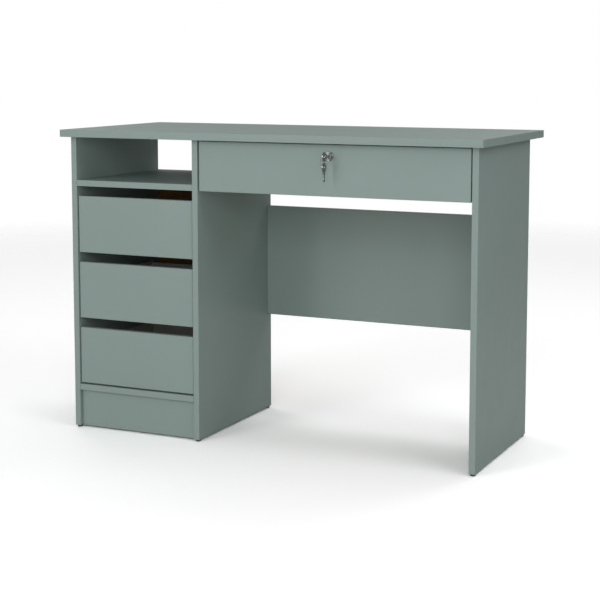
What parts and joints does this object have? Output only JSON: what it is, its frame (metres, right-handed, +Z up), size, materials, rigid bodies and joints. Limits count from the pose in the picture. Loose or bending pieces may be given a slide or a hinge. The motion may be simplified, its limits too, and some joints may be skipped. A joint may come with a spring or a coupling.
{
  "type": "writing desk with drawers",
  "caption": "Panel-built writing desk with a drawer pedestal and open compartment on the left, a modesty panel and a wide lockable drawer over the knee space.",
  "frame": {"origin": "on the floor under the middle of the desktop; the keys stand a little further forward than the desktop's front edge", "axes": "+X to the right as seen from the sitter's side, along the desk's length; +Y to the back, away from the sitter; +Z up"},
  "size_m": [1.1, 0.4988, 0.76],
  "materials": {
    "sage_board": "sage green melamine foil on particle board, satin",
    "drawer_box_board": "light grey foil on particle board, satin",
    "hardboard": "bare brown hardboard, matte",
    "runner_plastic": "white extruded plastic",
    "glide_plastic": "dark grey moulded plastic",
    "zinc_plated_steel": "bright zinc plating",
    "nickel_plate": "polished nickel plating",
    "brass": "drawn brass"
  },
  "bodies": {
    "carcass": {"desktop": "sage_board", "left_side_panel": "sage_board", "inner_side_panel": "sage_board", "right_side_panel": "sage_board", "open_shelf": "sage_board", "bottom_panel": "sage_board", "plinth_board": "sage_board", "modesty_panel": "sage_board", "pedestal_back_panel": "hardboard", "floor_glide_left_front": "glide_plastic", "floor_glide_left_back": "glide_plastic", "floor_glide_middle_front": "glide_plastic", "floor_glide_middle_back": "glide_plastic", "floor_glide_right_front": "glide_plastic", "floor_glide_right_back": "glide_plastic", "corner_bracket_left": "zinc_plated_steel", "corner_bracket_middle": "zinc_plated_steel", "corner_bracket_right": "zinc_plated_steel", "strike_plate": "zinc_plated_steel", "top_drawer_runner_left": "runner_plastic", "top_drawer_runner_right": "runner_plastic", "middle_drawer_runner_left": "runner_plastic", "middle_drawer_runner_right": "runner_plastic", "bottom_drawer_runner_left": "runner_plastic", "bottom_drawer_runner_right": "runner_plastic", "centre_drawer_runner_left": "runner_plastic", "centre_drawer_runner_right": "runner_plastic"},
    "top_drawer": {"top_drawer_front": "sage_board", "top_drawer_left_side": "drawer_box_board", "top_drawer_right_side": "drawer_box_board", "top_drawer_back": "drawer_box_board", "top_drawer_bottom": "hardboard"},
    "middle_drawer": {"middle_drawer_front": "sage_board", "middle_drawer_left_side": "drawer_box_board", "middle_drawer_right_side": "drawer_box_board", "middle_drawer_back": "drawer_box_board", "middle_drawer_bottom": "hardboard"},
    "bottom_drawer": {"bottom_drawer_front": "sage_board", "bottom_drawer_left_side": "drawer_box_board", "bottom_drawer_right_side": "drawer_box_board", "bottom_drawer_back": "drawer_box_board", "bottom_drawer_bottom": "hardboard"},
    "centre_drawer": {"centre_drawer_front": "sage_board", "centre_drawer_left_side": "drawer_box_board", "centre_drawer_right_side": "drawer_box_board", "centre_drawer_back": "drawer_box_board", "centre_drawer_bottom": "hardboard", "lock_case": "zinc_plated_steel", "lock_rosette": "nickel_plate", "lock_screw_1": "zinc_plated_steel", "lock_screw_2": "zinc_plated_steel", "lock_screw_3": "zinc_plated_steel", "lock_screw_4": "zinc_plated_steel"},
    "lock_plug": {"lock_plug": "nickel_plate"},
    "lock_bolt": {"lock_bolt": "brass"},
    "key": {"key_in_lock": "nickel_plate"},
    "key_ring": {"key_ring": "nickel_plate"},
    "spare_key": {"spare_key": "nickel_plate"}
  },
  "joints": [
    {"name": "top_drawer_slide", "type": "slide", "parent": "carcass", "child": "top_drawer", "axis": [0, -1, 0], "range_m": [0, 0.26]},
    {"name": "middle_drawer_slide", "type": "slide", "parent": "carcass", "child": "middle_drawer", "axis": [0, -1, 0], "range_m": [0, 0.26]},
    {"name": "bottom_drawer_slide", "type": "slide", "parent": "carcass", "child": "bottom_drawer", "axis": [0, -1, 0], "range_m": [0, 0.26]},
    {"name": "centre_drawer_slide", "type": "slide", "parent": "carcass", "child": "centre_drawer", "axis": [0, -1, 0], "range_m": [0, 0.26]},
    {"name": "key_turn", "type": "hinge", "parent": "centre_drawer", "child": "lock_plug", "pos_m": [0.1725, -0.2162, 0.712], "axis": [0, 1, 0], "range_deg": [0, 90]},
    {"name": "lock_bolt_slide", "type": "slide", "parent": "centre_drawer", "child": "lock_bolt", "axis": [0, 0, 1], "range_m": [0, 0.008]},
    {"name": "key_pull", "type": "slide", "parent": "lock_plug", "child": "key", "axis": [0, -1, 0], "range_m": [0, 0.016]},
    {"name": "key_ring_swing", "type": "hinge", "parent": "key", "child": "key_ring", "pos_m": [0.1725, -0.2453, 0.7099], "axis": [-1, 0, 0], "range_deg": [-20, 60]},
    {"name": "spare_key_hang", "type": "hinge", "parent": "key_ring", "child": "spare_key", "pos_m": [0.1725, -0.2453, 0.7004], "axis": [0, 1, 0], "range_deg": [-90, 0]}
  ],
  "couplings": [
    {"joint": "key_turn", "follows": "lock_bolt_slide", "rad_per_m": 196.3},
    {"joint": "spare_key_hang", "follows": "lock_bolt_slide", "rad_per_m": -196.3}
  ]
}
